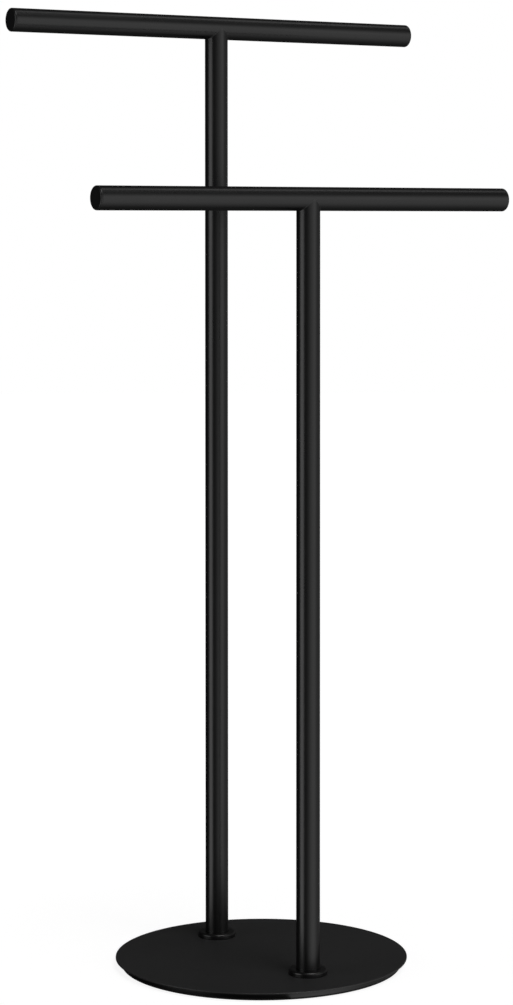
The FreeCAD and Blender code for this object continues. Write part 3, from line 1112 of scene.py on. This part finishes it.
@dataclass(frozen=True)
class Studio:
    """The pale floor, the white surroundings and the lamps.

    Attributes:
        camera_azimuth: The camera's own azimuth, in degrees.
        lamps: The soft boxes.
        glows: The bright parts of the room that light the object.
        mirrored_white: How much of the white backdrop the satin coat mirrors.
        floor_rings: The radii of the round floor's rings, out to its edge.
        floor_count: How many points each of them has.
        shadow_reach: Where the floor's shadow starts to fade and where it ends, from the base's middle.
        shadow_share: How much of the floor's white comes from the lamps, so that a shadow shows.
        floor_light: The lamps' light on the floor near the base, where no shadow falls.
        floor_dark: The floor's colour away from the base, where its white is all its own.
        floor_colour: The floor's colour at the base, where it catches the lamps' light.
        card_span: Bearings between which a dark card of painted shade lies just outside the base, under
            the floor; it stands in for the floor's shadow that the base's rim mirrors.
        card_reach: The card's inner and outer radius.
        card_drop: How far the card lies under the floor.
        card_pitch: The most degrees between two points along the card.
    """

    camera_azimuth: float
    lamps: tuple[SoftBox, ...]
    glows: tuple[Glow, ...]
    mirrored_white: float = 0.015
    floor_rings: tuple[float, ...] = (0.5, 1.0, 3.0, 9.0)
    floor_count: int = 64
    shadow_reach: Span = (0.2, 0.55)
    shadow_share: float = 0.3
    floor_light: float = 0.34
    floor_colour: Colour = grey(0.8)
    floor_dark: Colour = grey(0.05)
    card_span: Span = (-125.0, 12.0)
    card_reach: Span = (0.133, 0.18)
    card_drop: float = 0.2 * MM
    card_pitch: float = 6.0
    # Painted shade: the card's near-black colour stands in for the shadowed floor that the base's rim
    # mirrors.
    painted_shade_colour: Colour = grey(0.002)

    def build(self) -> None:
        """Builds the world, the floor, the card of painted shade and the lamps, and sets the view
        transform.
        """
        bpy.context.scene.view_settings.view_transform = "Standard"
        self.build_world()
        self.build_floor()
        self.build_painted_shade_card()
        for lamp in self.lamps:
            lamp.build(self.towards(lamp.bearing))

    def towards(self, bearing: float, elevation: float = 0.0) -> Vector:
        """A direction out from the object.

        Args:
            bearing: Degrees to the right of the camera, seen from the object.
            elevation: Degrees above the floor.

        Returns:
            The direction, of length 1.
        """
        turn, rise = math.radians(self.camera_azimuth - bearing), math.radians(elevation)
        return Vector((-math.sin(turn) * math.cos(rise), -math.cos(turn) * math.cos(rise), math.sin(rise)))

    def seen_white(self, bench: NodeBench) -> tuple[Socket, Socket]:
        """How white the backdrop is for the ray that meets it.

        Args:
            bench: The world's or the floor's tree.

        Returns:
            1 for a ray from the camera or through glass, and the strength for any ray.
        """
        path = bench.add("LightPath").outputs
        plain = bench.math("MAXIMUM", path["Is Camera Ray"], path["Is Transmission Ray"])
        mirrored = bench.math("MULTIPLY", path["Is Glossy Ray"], self.mirrored_white)
        return plain, bench.math("MAXIMUM", plain, mirrored)

    def build_world(self) -> None:
        """Makes the world: white behind the object, and a dark room with a few glows to light it."""
        world = bpy.data.worlds.new("studio")
        bpy.context.scene.world = world
        world.use_nodes = True
        bench = NodeBench(world.node_tree)
        background = world.node_tree.nodes["Background"]
        plain, white = self.seen_white(bench)
        way = bench.add("TexCoord").outputs["Generated"]
        room = 0.0
        for glow in self.glows:
            middle = self.towards(glow.bearing, glow.elevation)
            room = bench.math("ADD", glow.wire(bench, way, middle), room)
        unseen = bench.math("SUBTRACT", 1.0, plain)
        background.inputs["Color"].default_value = grey(1.0)
        bench.feed(background.inputs["Strength"], bench.math("MULTIPLY_ADD", room, unseen, white))

    def build_floor(self) -> None:
        """Builds a plain white floor that keeps a soft shadow near the base."""
        draft = MeshDraft()
        profile = [(radius, 0.0) for radius in self.floor_rings]
        rings = draft.turn(profile, upright(0.0, 0.0), self.floor_count)
        draft.bridge_all(rings)
        draft.fan(rings[0], Vector((0.0, 0.0, 0.0)))
        floor = draft.finish("studio_floor")
        material = bpy.data.materials.new("pale studio floor")
        material.use_nodes = True
        tree = material.node_tree
        tree.nodes.remove(tree.nodes["Principled BSDF"])
        bench = NodeBench(tree)
        plain, white = self.seen_white(bench)
        distance = bench.add("VectorMath", {0: bench.position()}, operation="LENGTH")
        near = bench.remap(distance.outputs["Value"], self.shadow_reach, (self.shadow_share, 0.0))
        lit = bench.math("MULTIPLY", near, plain)
        glow = bench.math("MULTIPLY_ADD", lit, -self.floor_light, white)
        colour = bench.mix(lit, self.floor_dark, self.floor_colour)
        matt = bench.add("BsdfDiffuse", {"Color": colour})
        shine = bench.add("Emission", {"Color": grey(1.0), "Strength": glow})
        both = bench.add("AddShader", {0: matt.outputs[0], 1: shine.outputs[0]})
        bench.feed(tree.nodes["Material Output"].inputs["Surface"], both.outputs[0])
        floor.data.materials.append(material)
        floor.visible_glossy = False
        floor.visible_shadow = False
        LOG.info("floor: %.0f m across", 2 * self.floor_rings[-1])

    def build_painted_shade_card(self) -> None:
        """Builds a dark card of painted shade that only the rim of the base mirrors: it stands in for the
        floor's shadow beside the base and keeps the rim's left half dark.
        """
        draft = MeshDraft()
        drop = Vector((0.0, 0.0, -self.card_drop))
        ways = [self.towards(bearing) for bearing in spread(*self.card_span, self.card_pitch)]
        inner, outer = (draft.ring(way * radius + drop for way in ways) for radius in self.card_reach)
        for one, next_one, other, next_other in zip(inner, inner[1:], outer, outer[1:]):
            draft.bm.faces.new((one, next_one, next_other, other))
        card = draft.finish("painted_shade_card")
        material = bpy.data.materials.new("painted shade card")
        material.use_nodes = True
        shader = material.node_tree.nodes["Principled BSDF"]
        shader.inputs["Base Color"].default_value = self.painted_shade_colour
        card.data.materials.append(material)
        # Hidden from the camera and from diffuse light, so that it shows only as painted shade in
        # reflections.
        card.visible_camera = False
        card.visible_diffuse = False
        LOG.info("painted shade card: %d faces", len(card.data.polygons))


STUDIO_LAMPS = (
    SoftBox("left box", bearing=-62.0, distance=6.0, height=-0.3, width=4.1, tall=7.6, radiance=1.5),
)
STUDIO_GLOWS = (
    Glow("right wall", bearing=43.5, elevation=-26.0, tightness=8.5, radiance=1.12),
    Glow("right panel", bearing=67.0, elevation=12.0, tightness=42.0, radiance=0.74),
    Glow("right rear wall", bearing=116.0, elevation=-4.0, tightness=8.0, radiance=0.18),
    Glow("high spot", bearing=122.0, elevation=59.0, tightness=300.0, radiance=1.5),
    Glow("key light", bearing=36.0, elevation=62.0, tightness=90.0, radiance=7.0),
    Glow("floor below", bearing=0.0, elevation=-84.0, tightness=18.0, radiance=0.2),
    Glow("ceiling", bearing=-10.0, elevation=80.0, tightness=6.0, radiance=0.05),
)


def main() -> None:
    """Builds the stand, the studio and the camera in order."""
    logging.basicConfig(level=logging.INFO, format="%(name)s: %(message)s")
    dresser = Dresser((PowderCoat(), TexturedCoatWithPaintedLight(), MouldedCap(), PadRubber(), ZincPlate()))
    posts = tuple((low.y + high.y) / 2 for low, high in (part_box(f"{side.value}_post") for side in Side))
    RoundBase(dresser, posts).build()
    for side in Side:
        TFrame(side, dresser).build()
    HiddenFixings(dresser).build()
    camera = PhotoCamera()
    camera.build()
    Studio(camera.azimuth, STUDIO_LAMPS, STUDIO_GLOWS).build()


if __name__ == "__main__":
    main()
